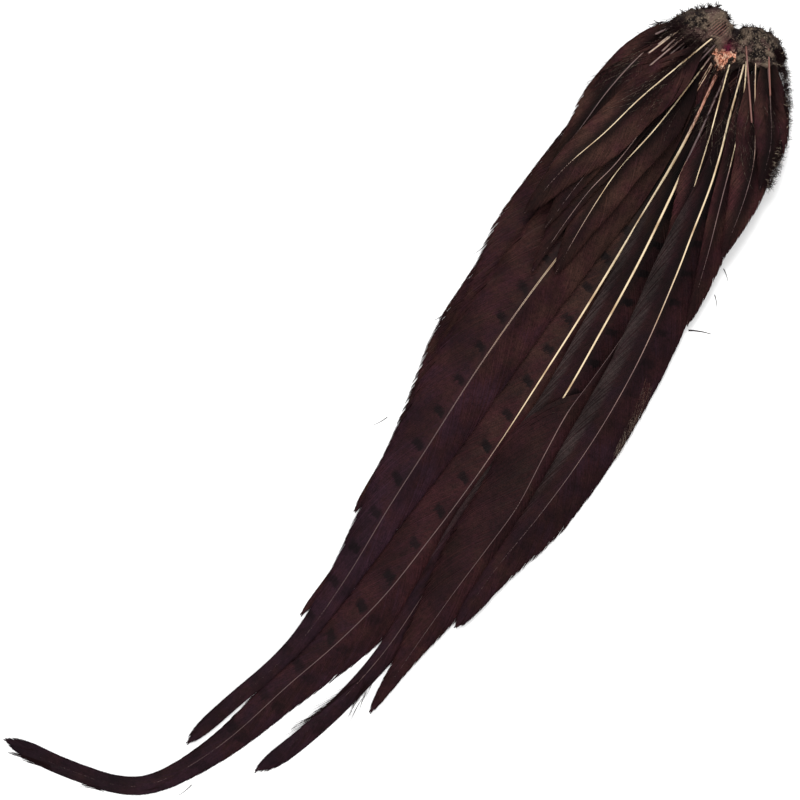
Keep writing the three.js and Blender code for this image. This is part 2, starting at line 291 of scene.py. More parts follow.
    def barbules():
        """What fills the gaps between the barbs: a thin closed sheet just under them."""
        sheet = node(tree, "GeometryNodeMeshCube", Size=(1.0, 1.0, 1.0), Vertices_X=SHEET_ROWS,
                     Vertices_Y=9, Vertices_Z=2).outputs["Mesh"]
        x, y, z = output(tree.nodes.new("GeometryNodeInputPosition"), "Position").parts()
        distance = (x + 0.5) * total
        there = along_shaft(tree, shaft, distance, attribute(tree, "sheet", "FLOAT_VECTOR"),
                            "FLOAT_VECTOR")
        to_right, to_left, _ = output(there, "Value").parts()
        sideways = y.max(0.0) * 2.0 * to_right + y.min(0.0) * 2.0 * to_left
        middle, heading = output(there, "Position"), output(there, "Tangent")
        hx, hy, _ = heading.parts()
        outward = vector_of(tree, hy * -1.0, hx, 0.0)
        thickness = output(along_shaft(tree, shaft, distance, attribute(tree, "shaft_radius")),
                           "Value") + 0.5 * MM
        on_right = y.ramp(-0.01, 0.01)
        beside = on_right * sideways.max(thickness)
        beside = beside + (1.0 - on_right) * sideways.min(thickness * -1.0)
        level = height_on(tree, solid, middle + outward.scaled(beside))
        px, py, _ = (middle + outward.scaled(sideways)).parts()
        bottom = (level - SHEET_BELOW * MM).max(SHEET_THICKNESS * MM)
        place = vector_of(tree, px, py, bottom + z * SHEET_THICKNESS * MM)
        webs = [output(along_shaft(tree, shaft, distance, attribute(tree, name, "FLOAT_VECTOR"),
                                   "FLOAT_VECTOR"), "Value").parts()
                for name in ("right_web", "left_web")]
        bars, ash = [left + (right - left) * on_right for right, left in zip(*webs)][1:]
        sheet = store(tree, sheet, "chance", 0.3)
        return placed(sheet, place, distance, sideways, y.math("ABSOLUTE") * 2.0, bars, ash,
                      distance)

    def grooved_shaft():
        """A tube along the shaft line, sunk a little into the web, with a groove on top."""
        tube = node(tree, "GeometryNodeMeshCylinder", {"fill_type": "NGON"},
                    Vertices=SHAFT_SIDES, Side_Segments=SHAFT_SEGMENTS, Radius=1.0,
                    Depth=1.0).outputs["Mesh"]
        rise, across, along = output(tree.nodes.new("GeometryNodeInputPosition"),
                                     "Position").parts()
        distance = (along + 0.5) * total
        there = along_shaft(tree, shaft, distance, attribute(tree, "shaft_radius"))
        radius = output(there, "Value")
        middle, heading = output(there, "Position"), output(there, "Tangent")
        hx, hy, _ = heading.parts()
        flank = vector_of(tree, hy, hx * -1.0, 0.0)
        level = height_on(tree, solid, middle)
        on_top = rise.ramp(0.3, 0.9) * (across * across * -9.0).math("EXPONENT")
        stand = rise * (1.0 - on_top * size["Groove"])
        x, y, _ = (middle + flank.scaled(across * radius)).parts()
        z = level + radius * (stand - SHAFT_SUNK)
        place = vector_of(tree, x, y, z.max(0.1 * MM))
        tube = store(tree, tube, "shaft_along", distance)
        tube = store(tree, tube, "shaft_across", across)
        tube = store(tree, tube, "groove", on_top * size["Groove"])
        for name in ("pale", "blush"):
            value = output(along_shaft(tree, shaft, distance, attribute(tree, name)), "Value")
            tube = store(tree, tube, name, value)
        tube = node(tree, "GeometryNodeSetPosition", Geometry=tube, Position=place)
        tube = node(tree, "GeometryNodeSetShadeSmooth", Geometry=tube.outputs["Geometry"],
                    Shade_Smooth=True)
        return node(tree, "GeometryNodeSetMaterial", Geometry=tube.outputs["Geometry"],
                    Material=given["Shaft Material"]).outputs["Geometry"]

    joined = tree.nodes.new("GeometryNodeJoinGeometry")
    for piece in (web(1.0, size["Bare Right"], "right_web", 10),
                  web(-1.0, size["Bare Left"], "left_web", 20), barbules(), grooved_shaft()):
        tree.links.new(piece, joined.inputs["Geometry"])
    tree.links.new(joined.outputs["Geometry"], tree.nodes.new("NodeGroupOutput").inputs[0])
    return tree


def smooth(start, end, value):
    share = np.clip((value - start) / (end - start), 0, 1)
    return share * share * (3 - 2 * share)


def shaft_points(path, step=2.0):
    """A smooth line through the points of a shaft, as the solid feathers have it."""
    points = np.array(path, float)
    points = np.vstack([2 * points[0] - points[1], points, 2 * points[-1] - points[-2]])
    line = []
    for a, b, c, d in zip(points, points[1:], points[2:], points[3:]):
        gap_1, gap_2, gap_3 = (math.sqrt(np.linalg.norm(after - before))
                               for before, after in ((a, b), (b, c), (c, d)))
        leave = ((b - a) / gap_1 - (c - a) / (gap_1 + gap_2) + (c - b) / gap_2) * gap_2
        arrive = ((c - b) / gap_2 - (d - b) / (gap_2 + gap_3) + (d - c) / gap_3) * gap_2
        count = max(2, round(np.linalg.norm(c - b) / step))
        for t in np.arange(count)[:, None] / count:
            line.append(b + leave * t + (-3 * b + 3 * c - 2 * leave - arrive) * t ** 2
                        + (2 * b - 2 * c + leave + arrive) * t ** 3)
    return np.array(line + [points[-2]])


TIP_ROUNDING = 18


def web_width(full, bare, opening, taper, along, length):
    start, end, tip_share = taper
    past = np.maximum(0, (along - length + TIP_ROUNDING) / TIP_ROUNDING)
    rounding = np.sqrt(np.maximum(0, 1 - past ** 2))
    narrowing = 1 - (1 - tip_share) * smooth(start, end, along / length)
    return np.maximum(full * smooth(bare, bare + opening, along) * narrowing * rounding, 0.5)


def sheet_width(width, bare, reach, along):
    """The web without its frayed edge, and no further than its first barb stands out."""
    first = 1 - (1 - np.clip((along - bare) / reach, 0, 1)) ** BARB_BEND
    return np.maximum(0.3, np.minimum(width * 0.93, width * first) - 0.4)


def keyed(keys, along):
    """A value along the shaft, from (distance, value) pairs."""
    return np.interp(along, [key[0] for key in keys], [key[1] for key in keys])


def bar_phase(bars, along):
    """Counts the bars along the shaft: it is a whole number in the middle of each bar."""
    first, pitch, growth = bars
    from_first = along - first
    widened = np.sqrt(np.maximum(pitch ** 2 + 2 * growth * from_first, 0))
    return np.where(from_first < 0, from_first / pitch, (widened - pitch) / growth)


FEATHER_TREE = feather_tree()


def added(name, data):
    thing = bpy.data.objects.new(name, data)
    bpy.context.scene.collection.objects.link(thing)
    return thing


def grown(piece, tree, settings):
    """Turns a bare line or bare points into the plain mesh that the tree makes of them."""
    bare = piece.data
    modifier = piece.modifiers.new(tree.name, "NODES")
    modifier.node_group = tree
    for item in tree.interface.items_tree:
        if item.name in settings:
            modifier[item.identifier] = settings[item.name]
    evaluated = piece.evaluated_get(bpy.context.evaluated_depsgraph_get())
    mesh = bpy.data.meshes.new_from_object(evaluated)
    piece.modifiers.remove(modifier)
    piece.data = mesh
    bpy.data.meshes.remove(bare)


def tail_feather(name, path, webs, bare, taper, quill, pale, seed, right_taper=None,
                 opening=(36, 36), bars=(45, 18, 0.35), bars_right=((0, 0),),
                 bars_left=((0, 0),), ash_right=((0, 0),), ash_left=((0, 0),),
                 dye=((0, 0.4, 0.3, 0.5),), reach=2.3, looseness=0.4, groove=0.0,
                 blush=((0, 0),)):
    """Makes one tail feather along its shaft, in millimetres, in place of its solid."""
    points = shaft_points(path)
    along = np.concatenate([[0], np.cumsum(np.linalg.norm(np.diff(points, axis=0), axis=1))])
    length = along[-1]
    share = along / length
    line = bpy.data.meshes.new(name)
    line.from_pydata([(x * MM, y * MM, 0.02) for x, y in points],
                     [(i, i + 1) for i in range(len(points) - 1)], [])
    right, left = (web_width(webs[side], bare[side], opening[side], tapering, along, length)
                   for side, tapering in enumerate((right_taper or taper, taper)))
    sheets = [sheet_width(width, start, reach * max(webs), along)
              for width, start in ((right, bare[0]), (left, bare[1]))]
    columns = {
        "shaft_radius": (keyed(quill, along) * (1 - share) + 0.12) * MM,
        "pale": keyed(pale, along),
        "blush": keyed(blush, along),
        "bar_phase": bar_phase(bars, along),
        "right_web": np.column_stack([right * MM, keyed(bars_right, along),
                                      keyed(ash_right, along)]),
        "left_web": np.column_stack([left * MM, keyed(bars_left, along),
                                     keyed(ash_left, along)]),
        "sheet": np.column_stack([sheets[0] * MM, sheets[1] * MM, along * 0]),
        "dye": np.column_stack([keyed([(key[0], key[i]) for key in dye], along)
                                for i in (1, 2, 3)]),
    }
    for column, values in columns.items():
        vector = values.ndim == 2
        made = line.attributes.new(column, "FLOAT_VECTOR" if vector else "FLOAT", "POINT")
        made.data.foreach_set("vector" if vector else "value", values.astype("f").ravel())
    piece = added(name, line)
    grown(piece, FEATHER_TREE, {
        "Solid Web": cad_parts["tail_" + name], "Barb Pitch": BARB_PITCH * MM,
        "Barb Reach": reach * max(webs) * MM, "Barb Width": BARB_WIDTH * MM,
        "Bare Right": bare[0] * MM, "Bare Left": bare[1] * MM, "Looseness": looseness,
        "Groove": groove, "Seed": seed, "Web Material": WEB_MATERIAL,
        "Shaft Material": SHAFT_MATERIAL})
    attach(piece, "root")
    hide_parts("tail_" + name)


def new_material(name):
    material = bpy.data.materials.new(name)
    material.use_nodes = True
    tree = material.node_tree
    return material, tree, tree.nodes["Principled BSDF"]


def read(tree, name, part="Fac"):
    """An attribute of the mesh, in a material."""
    return output(node(tree, "ShaderNodeAttribute", {"attribute_name": name}), part)


def mixed(tree, share, first, second):
    made = tree.nodes.new("ShaderNodeMix")
    made.data_type = "RGBA"
    for socket, value in zip([made.inputs[0], made.inputs[6], made.inputs[7]],
                             (share, first, second)):
        plug(tree, value, socket)
    return Field(tree, made.outputs[2])


def grain(tree, vector, scale, detail=2.0):
    return output(node(tree, "ShaderNodeTexNoise", Vector=vector, Scale=scale, Detail=detail),
                  "Fac")


def colour(red, green, blue):
    return (red, green, blue, 1.0)


def mottling_group():
    """Blotches of two sizes, each stretched to the full range from 0 to 1."""
    tree = bpy.data.node_groups.new("mottling", "ShaderNodeTree")
    add_sockets(tree, "INPUT", {"Place": "Vector", "Broad Scale": "Float", "Fine Scale": "Float"})
    add_sockets(tree, "OUTPUT", {"Broad": "Float", "Fine": "Float"})
    given = tree.nodes.new("NodeGroupInput").outputs
    result = tree.nodes.new("NodeGroupOutput")
    for name, detail in (("Broad", 3.0), ("Fine", 2.0)):
        blotches = grain(tree, given["Place"], given[name + " Scale"], detail)
        plug(tree, blotches.ramp(0.3, 0.7), result.inputs[name])
    return tree


MOTTLING = mottling_group()


def mottled(tree, place, broad_scale, fine_scale):
    made = node(tree, "ShaderNodeGroup", {"node_tree": MOTTLING}, Place=place,
                Broad_Scale=broad_scale, Fine_Scale=fine_scale)
    return output(made, "Broad"), output(made, "Fine")


def web_material():
    """Dyed barbs: claret, brown or violet, streaked from barb to barb, with near-black bars."""
    material, tree, skin = new_material("dyed web")
    along, across = read(tree, "vane_along"), read(tree, "vane_across")
    luck, part = read(tree, "chance"), read(tree, "barb_part")
    dye = read(tree, "dye", "Vector").parts()
    place = vector_of(tree, along, across, luck * 0.004)
    blotches, grit = mottled(tree, place, 90.0, 420.0)
    drift, speckle = mottled(tree, vector_of(tree, along, across * 1.6, luck * 0.002), 38.0, 1500.0)
    claret = colour(0.0225, 0.0062, 0.0072)
    brown = colour(0.0270, 0.0118, 0.0088)
    violet = colour(0.0175, 0.0066, 0.0112)
    browned = dye[0] + (blotches - 0.5) * 0.6
    shade = mixed(tree, browned.ramp(0.1, 1.0), claret, brown)
    violeted = dye[1] + (luck - 0.5) * 0.4 - (blotches - 0.5) * 0.5
    shade = mixed(tree, violeted.ramp(0.2, 1.1), shade, violet)
    edge = across.math("ABSOLUTE")
    streaks = grain(tree, vector_of(tree, luck * 3.0, part * 1.5, 0.0), 2.2, 1.0)
    ashen = read(tree, "ash") * edge.ramp(5.0 * MM, 8.0 * MM) * edge.ramp(17.0 * MM, 13.0 * MM)
    ashen = ashen * (streaks + (luck - 0.5) * 0.7).ramp(0.15, 0.85)
    shade = mixed(tree, ashen, shade, colour(0.040, 0.027, 0.026))
    ragged = (blotches - 0.5) * 0.05 + (grit - 0.5) * 0.08
    from_bar = (read(tree, "bar_phase") + edge * 11.0 + ragged).math("PINGPONG", 0.5)
    bar = from_bar.ramp(0.15, 0.07) * edge.ramp(9.5 * MM, 6.5 * MM)
    bar = bar * edge.ramp(0.8 * MM, 2.4 * MM) * (0.75 + blotches * 0.25)
    shade = mixed(tree, bar * read(tree, "bars"), shade, colour(0.0035, 0.0017, 0.0022))
    in_shadow = edge.ramp(6.0 * MM, 1.0 * MM) * along.ramp(215.0 * MM, 60.0 * MM)
    # Tone differs at random from barb to barb; the few much lighter barbs are painted highlights.
    value = 0.30 + luck * 0.24 + luck ** 16.0 * 0.25 + speckle * 0.55 + grit * 0.36
    value = value * dye[2].ramp(0.0, 1.0, 0.25, 1.55) * (0.68 + drift * 0.64)
    hsv = node(tree, "ShaderNodeHueSaturation", Color=shade,
               Value=value * (1.0 - in_shadow * 0.8))
    plug(tree, output(hsv, "Color"), skin.inputs["Base Color"])
    plug(tree, 0.46 + luck * 0.22, skin.inputs["Roughness"])
    skin.inputs["Specular IOR Level"].default_value = 0.06
    bump = node(tree, "ShaderNodeBump", Strength=0.35, Distance=0.0002,
                Height=grain(tree, place, 2600.0, 2.0))
    plug(tree, output(bump, "Normal"), skin.inputs["Normal"])
    return material


def shaft_material():
    """Horn: ivory, dyed deeper to the tip, with brown edges and a dark groove of painted shade."""
    material, tree, skin = new_material("shaft horn")
    along, across = read(tree, "shaft_along"), read(tree, "shaft_across")
    pale, groove = read(tree, "pale"), read(tree, "groove")
    stain, fleck = mottled(tree, vector_of(tree, along, across * 0.002, 0.0), 60.0, 900.0)
    lines = grain(tree, vector_of(tree, along * 0.03, across, 0.0), 6.0, 2.0)
    ivory = mixed(tree, stain.ramp(0.3, 1.1), colour(0.64, 0.51, 0.32), colour(0.34, 0.22, 0.11))
    dyed = mixed(tree, lines.ramp(0.3, 0.7), colour(0.035, 0.014, 0.015),
                 colour(0.09, 0.045, 0.042))
    # Darker towards the sides of the round shaft and in its groove: painted shade.
    edge = across.math("ABSOLUTE").ramp(0.45, 0.95)
    share = pale * 1.1 - edge * 0.8 - groove * 0.9 + (lines - 0.5) * 0.5
    share = (share + (stain - 0.5) * 0.2 + (fleck - 0.5) * 0.15).ramp(0.1, 0.9)
    shade = mixed(tree, share.ramp(0.0, 0.5), dyed, colour(0.20, 0.115, 0.095))
    shade = mixed(tree, share.ramp(0.4, 1.0), shade, ivory)
    blush = read(tree, "blush") * (0.6 + lines * 0.6)
    shade = mixed(tree, blush, shade, colour(0.33, 0.105, 0.065))
    plug(tree, shade, skin.inputs["Base Color"])
    plug(tree, 0.34 + stain * 0.2, skin.inputs["Roughness"])
    skin.inputs["Specular IOR Level"].default_value = 0.5
    bump = node(tree, "ShaderNodeBump", Strength=0.4, Distance=0.0001,
                Height=lines + stain * 0.3)
    plug(tree, output(bump, "Normal"), skin.inputs["Normal"])
    return material


WEB_MATERIAL = web_material()
SHAFT_MATERIAL = shaft_material()

tail_feather(
    "feather_right_1", webs=(17, 20), bare=(0, 2), opening=(18, 36),
    taper=(0.42, 0.88, 0.25), right_taper=(0.53, 0.92, 0.24), seed=1,
    quill=[(0, 0.9), (110, 0.8), (150, 0.68), (196, 0.5), (241, 0.27), (560, 0.25)],
    path=[[2, 3], [51, 8], [100, 9], [150, 9], [196, 8], [234, 7], [265, 5], [303, 1], [333, -3],
          [366, -11], [400, -22], [434, -32], [454, -40], [474, -51], [484, -60], [491, -73],
          [495, -89], [498, -107], [500, -133]],
    pale=[(0, 0.5), (30, 0.75), (60, 1), (200, 0.95), (235, 0.6), (262, 0.32), (560, 0.24)],
    bars=(104, 18.0, 0.36), bars_left=[(80, 0), (100, 0.9), (330, 1), (400, 0.7), (540, 0.3)],
    bars_right=[(280, 0), (340, 0.5), (480, 0.5), (560, 0)],
    dye=[(0, 0.9, 0, 0), (60, 0.9, 0, 0.2), (110, 0.9, 0, 0.6), (200, 0.4, 0, 0.6),
         (300, 0.1, 0.25, 0.52), (420, 0.15, 0.6, 0.46), (560, 0.1, 0.8, 0.3)],
    groove=0.25, blush=[(0, 0.9), (36, 0.8), (52, 0)])
tail_feather(
    "feather_left_1", webs=(17, 23), bare=(24, 8), opening=(80, 36), taper=(0.42, 0.89, 0.2),
    quill=[(0, 0.8), (126, 0.68), (200, 0.42), (300, 0.28), (452, 0.25)], seed=2,
    path=[[0, -1], [30, -1], [60, -5], [97, -12], [125, -16], [162, -20], [209, -23],
          [253, -24], [292, -25], [337, -25], [375, -28], [399, -34], [420, -41], [452, -51]],
    pale=[(0, 0.9), (32, 0.9), (38, 0), (118, 0), (126, 0.9), (200, 0.65),
          (250, 0.38), (452, 0.28)],
    bars=(106, 18.0, 0.3), bars_left=[(90, 0), (110, 0.9), (330, 0.9), (420, 0.3)],
    bars_right=[(300, 0), (360, 0.4), (430, 0)],
    dye=[(0, 0.6, 0, 0), (60, 0.8, 0, 0.4), (140, 0.5, 0.1, 0.5), (230, 0.1, 0.5, 0.5),
         (330, 0, 0.9, 0.5), (460, 0.3, 0.6, 0.35)],
    groove=0.9, blush=[(0, 0.4), (36, 0.3), (40, 0)])

# ---- The next feathers on the right --------------------------------------------------------------
# Shorter feathers beside the middle pair, with grey-brown streaks in the outer half of the
# left webs. The web of the third one has opened where it leaves the cover of the fourth.
tail_feather(
    "feather_right_2", webs=(17, 10.5), bare=(8, 20), opening=(36, 100), taper=(0.5, 0.86, 0.34),
    quill=[(0, 0.7), (120, 0.75), (200, 0.7), (230, 0.3), (446, 0.2)], seed=3,
    path=[[2, 7], [31, 11], [58, 14], [84, 17], [115, 20], [156, 22], [206, 23], [244, 19],
          [283, 15], [321, 14], [358, 12], [391, 6], [418, -2], [446, -13]],
    pale=[(0, 0.3), (56, 0.1), (60, 1), (205, 1), (212, 0.1), (330, 0.1), (360, 0.25), (450, 0.2)],
    bars=(88, 15.5, 0.6), bars_right=[(80, 0), (90, 1), (180, 1), (220, 0.4), (300, 0.2)],
    ash_left=[(70, 0), (100, 1), (230, 1), (300, 0.4), (400, 0.2)],
    dye=[(0, 0.6, 0, 0), (70, 0.7, 0, 0.1), (140, 0.2, 0.3, 0.35), (300, 0.1, 0.5, 0.4),
         (450, 0, 0.9, 0.42)])
tail_feather(
    "feather_right_3", webs=(16.5, 22), bare=(8, 194), taper=(0.68, 1, 0.15), seed=4,
    quill=[(0, 0), (195, 0.05), (208, 0.45), (260, 0.25)],
    path=[[-1, 11], [24, 19], [57, 27], [89, 32], [151, 33], [180, 31], [202, 29], [226, 30],
          [258, 32], [283, 30], [313, 27], [340, 25], [389, 22]],
    pale=[(0, 0), (200, 0), (207, 0.34), (230, 0.26), (300, 0.15), (390, 0.1)],
    dye=[(0, 0.6, 0, 0), (80, 0.4, 0.1, 0.2), (200, 0.25, 0.1, 0.35), (390, 0.2, 0.3, 0.45)],
    looseness=0.6)
tail_feather(
    "feather_right_4", webs=(15, 13), bare=(12, 14), opening=(36, 120),
    taper=(0.6, 0.95, 0.3), right_taper=(0.76, 1, 0.35), seed=5, reach=2.84,
    quill=[(0, 0.55), (120, 0.58), (160, 0.38), (200, 0.3)],
    path=[[-3, 12], [17, 18], [32, 22], [49, 27], [65, 31], [92, 36], [113, 40], [155, 46],
          [193, 48], [226, 47], [257, 44], [293, 39], [328, 37]],
    pale=[(0, 0.6), (40, 1), (100, 0.95), (130, 0.6), (165, 0.4), (200, 0.3), (330, 0.12)],
    bars=(86, 15.0, 0.5), bars_right=[(56, 0), (70, 0.9), (140, 0.8), (190, 0.3)],
    ash_left=[(70, 0), (95, 1), (230, 1), (280, 0.3)],
    dye=[(0, 0.5, 0, 0), (60, 0.3, 0.2, 0.2), (120, 0, 0.4, 0.3), (200, 0.1, 0.5, 0.35),
         (330, 0.3, 0.4, 0.4)])
tail_feather(
    "feather_right_5", webs=(8, 16), bare=(4, 4), taper=(0.7, 1, 0.35), quill=[(0, 0.4)], seed=6,
    path=[[-4, 15], [32, 27], [67, 37], [108, 47], [152, 53], [187, 56], [216, 59]],
    pale=[(0, 0)], dye=[(0, 0.5, 0.1, 0.6), (150, 0.6, 0, 0.7), (216, 0.9, 0, 1)], looseness=0.8)

# ---- The hidden feathers on the left -------------------------------------------------------------
# They lie under the long left feather and show only their edges and tips.
tail_feather(
    "feather_left_2", webs=(18, 19), bare=(3, 3), taper=(0.6, 0.98, 0.12), quill=[(0, 0.5)],
    seed=7,
    path=[[-2, -6], [56, -13], [102, -18], [149, -20], [243, -24], [290, -26], [330, -30],
          [364, -35]], pale=[(0, 0)])
tail_feather(
    "feather_left_3", webs=(18, 22.5), bare=(3, 3), taper=(0.62, 0.98, 0.15), quill=[(0, 0.5)],
    seed=8,
    path=[[-2, -11], [53, -18], [101, -25], [170, -30], [239, -33], [303, -39]],
    pale=[(0, 0)])
tail_feather(
    "feather_left_4", webs=(16, 20.5), bare=(3, 3), taper=(0.65, 1, 0.2), quill=[(0, 0.4)],
    seed=9,
    path=[[-4, -16], [47, -24], [88, -30], [131, -34], [171, -37], [211, -46]],
    pale=[(0, 0)])

# ---- The short feathers over the root ------------------------------------------------------------
# Small feathers that grow nearest the viewer. Their thin quills shine where they leave the skin.
SHORT_FEATHERS = [
    dict(name="feather_left_5", webs=(11, 11), bare=(14, 14), quill=[(0, 0.4)],
         path=[[2, -3], [31, -6], [55, -9], [81, -14], [97, -15], [125, -15], [144, -14]],
         pale=[(0, 0.25), (26, 1), (75, 0.9), (120, 0.45), (144, 0.2)]),
    dict(name="feather_left_6", webs=(2.5, 11), bare=(14, 14), quill=[(0, 0.4)],
         path=[[-3, -6], [13, -9], [29, -12], [53, -14], [80, -17], [97, -21], [114, -23],
               [149, -25]], pale=[(0, 0.1), (25, 0.2), (60, 0.4), (149, 0.3)]),
    dict(name="feather_left_7", webs=(5, 11), bare=(14, 14), quill=[(0, 0.32)],
         path=[[-7, -3], [19, -9], [43, -15], [60, -21], [76, -25], [98, -28], [127, -31]],
         pale=[(0, 0.05), (40, 0.1), (60, 0.3), (127, 0.2)]),
    dict(name="feather_left_8", webs=(13, 10), bare=(16, 16), quill=[(0, 0.38)],
         path=[[-11, -4], [2, -9], [22, -16], [46, -24], [69, -30], [94, -38], [126, -44]],
         pale=[(0, 0.7), (20, 1), (95, 0.85), (126, 0.2)]),
    dict(name="feather_left_9", webs=(12, 10), bare=(4, 4), quill=[(0, 0.45)],
         path=[[-6, -21], [9, -30], [28, -36], [50, -40], [73, -42], [95, -45]],
         pale=[(0, 0.5), (95, 0.1)]),
    dict(name="feather_right_6", webs=(9, 9), bare=(14, 38), quill=[(0, 0.45)],
         path=[[-2, 5], [23, 12], [41, 17], [61, 22], [85, 28], [112, 31]],
         pale=[(0, 0.6), (20, 1), (85, 0.9), (112, 0.4)]),
    dict(name="feather_right_7", webs=(11.5, 5), bare=(16, 16), quill=[(0, 0.4)],
         path=[[-8, 9], [12, 20], [23, 25], [47, 33], [70, 40], [95, 48], [131, 58]],
         pale=[(0, 0.5), (25, 0.9), (55, 0.9), (70, 0.3), (131, 0.2)]),
    dict(name="feather_right_8", webs=(10, 10), bare=(14, 14), quill=[(0, 0.36)],
         path=[[-12, 12], [7, 23], [22, 32], [42, 43], [61, 49], [93, 55]],
         pale=[(0, 0.6), (50, 0.5), (93, 0.1)]),
    dict(name="feather_right_9", webs=(9.5, 9), bare=(4, 4), quill=[(0, 0.3)],
         path=[[-14, 17], [-1, 26], [13, 36], [30, 46], [53, 53]], pale=[(0, 0.4), (53, 0.1)]),
]
DARK_BY_THE_ROOT = ("feather_left_5", "feather_left_6", "feather_left_7")
for number, feather in enumerate(SHORT_FEATHERS):
    browned = 0.75 if "left" in feather["name"] else 0.4
    at_root, past_it = (0, 0.1) if feather["name"] in DARK_BY_THE_ROOT else (0.3, 0.55)
    tail_feather(taper=(0.6, 1, 0.35), seed=20 + number, reach=2.6,
                 dye=[(0, 0.5, 0.1, at_root), (38, 0.4, 0.2, past_it), (72, browned, 0, 0.62),
                      (110, browned, 0.1, 0.62), (150, 0.2, 0.3, 0.4)],
                 **feather)

# ---- The root ------------------------------------------------------------------------------------
# A pad of dried skin with two lobes and a cleft between them, crusted and wrinkled. It slopes down
# to where the quills come out, and in the middle of that slope a V of bare flesh shows.
ROOT_OUTLINE = [
    (8, -20), (7, -12), (7, -5), (10, 0), (12, 5), (7, 9), (2, 14), (0, 20), (-1, 27), (-6, 31),
    (-13, 29), (-18, 23), (-20, 16), (-19, 9), (-15, 4), (-13, -2), (-16, -9), (-17, -15),
    (-12, -21), (-6, -27), (1, -30), (7, -27)]
ROOT_MIDDLE = np.array([-4.0, 0.0])
ROOT_WALL = [(0, 0.93, 0), (0.12, 1, 2.5), (0.3, 1, 8), (0.45, 0.94, 12), (0.6, 0.78, 15.3),
             (0.8, 0.45, 17), (1, 0, 17.6)]
OUTLINE_STEPS, WALL_STEPS = 260, 72
ROOT_HEIGHT, LOWEST_SKIN = 17, 0.3
CLEFT_Y, CLEFT_WIDTH, CLEFT_DEPTH = 1.5, 3.2, 5
RIDGES_AT, RIDGE_PITCH = (-6.4, -7.5), 1.35
WINE_SPOT_AT = (-1.4, 1.4)
FLESH_CORNERS = [(3.4, -4.6), (13.4, 5.2), (-0.9, 7.2)]


def closed_outline(corners, steps):
    line = shaft_points(corners[-2:] + corners + corners[:3], 0.8)
    near = np.linalg.norm(line - np.array(corners[0]), axis=1)
    half = len(line) // 2
    line = line[np.argmin(near[:half]):half + np.argmin(near[half:]) + 1]
    run = np.concatenate([[0], np.cumsum(np.linalg.norm(np.diff(line, axis=0), axis=1))])
    stops = np.linspace(0, run[-1], steps, endpoint=False)
    return np.column_stack([np.interp(stops, run, line[:, axis]) for axis in (0, 1)])


def inside_corners(x, y, corners, softness):
    """1 inside a triangle and 0 outside it, with a soft border."""
    (ax, ay), (bx, by), (cx, cy) = corners
    depth = np.inf
    for (px, py), (qx, qy) in (((ax, ay), (bx, by)), ((bx, by), (cx, cy)), ((cx, cy), (ax, ay))):
        away = ((qx - px) * (y - py) - (qy - py) * (x - px)) / math.hypot(qx - px, qy - py)
        depth = np.minimum(depth, away)
    return smooth(-softness, softness, depth)


def root_mesh():
    outline = closed_outline(ROOT_OUTLINE, OUTLINE_STEPS)
    part = np.linspace(0, 1, WALL_STEPS, endpoint=False)
    share, height = (np.interp(part, [row[0] for row in ROOT_WALL], [row[i] for row in ROOT_WALL])
                     for i in (1, 2))
    flat = ROOT_MIDDLE + (outline - ROOT_MIDDLE)[None] * share[:, None, None]
    x, y = flat[..., 0], flat[..., 1]
    z = np.repeat(height[:, None], OUTLINE_STEPS, axis=1)
    z = z * (1 - 0.36 * smooth(-7, 7, x))
    cleft = np.exp(-((y - CLEFT_Y) / CLEFT_WIDTH) ** 2)
    z = z - z / ROOT_HEIGHT * CLEFT_DEPTH * cleft * smooth(4, -6, x)
    rows = [[(a * MM, b * MM, c * MM) for a, b, c in zip(*ring)] for ring in zip(x, y, z)]
    mesh = bpy.data.meshes.new("root_skin")
    built = bmesh.new()
    swells, rims = (built.verts.layers.float.new(column) for column in ("swell", "rim"))
    rings = [[built.verts.new(point) for point in row] for row in rows]
    foot = built.verts.new((*(ROOT_MIDDLE * MM), 0))
    crown = built.verts.new((*(ROOT_MIDDLE * MM), rows[-1][0][2]))
    for low, high in zip(rings, rings[1:]):
        for step in range(OUTLINE_STEPS):
            after = (step + 1) % OUTLINE_STEPS
            built.faces.new((low[step], low[after], high[after], high[step]))
    for step in range(OUTLINE_STEPS):
        after = (step + 1) % OUTLINE_STEPS
        built.faces.new((rings[-1][step], rings[-1][after], crown))
        built.faces.new((rings[0][after], rings[0][step], foot))
    bmesh.ops.recalc_face_normals(built, faces=built.faces[:])
    built.normal_update()
    # The rim mask marks the lower sides of the pad, which the skin's material darkens as painted
    # shade.
    for wall_part, ring in zip(part, rings):
        for vertex in ring:
            vertex[rims] = float(smooth(0.64, 0.46, wall_part))
    for vertex in built.verts:
        if vertex.co.z > LOWEST_SKIN * MM:
            place = vertex.co / MM
            swell = (1.3 * noise.noise(place / 6.5) + 1.3 * noise.noise(place / 2.6)
                     + 0.8 * abs(noise.noise(place / 1.2)) + 0.4 * noise.noise(place / 0.55))
            vertex[swells] = swell
            vertex.co += vertex.normal * (swell - 0.4) * MM
            vertex.co.z = max(vertex.co.z, LOWEST_SKIN * MM)
    for face in built.faces:
        face.smooth = True
    built.to_mesh(mesh)
    built.free()
    return mesh


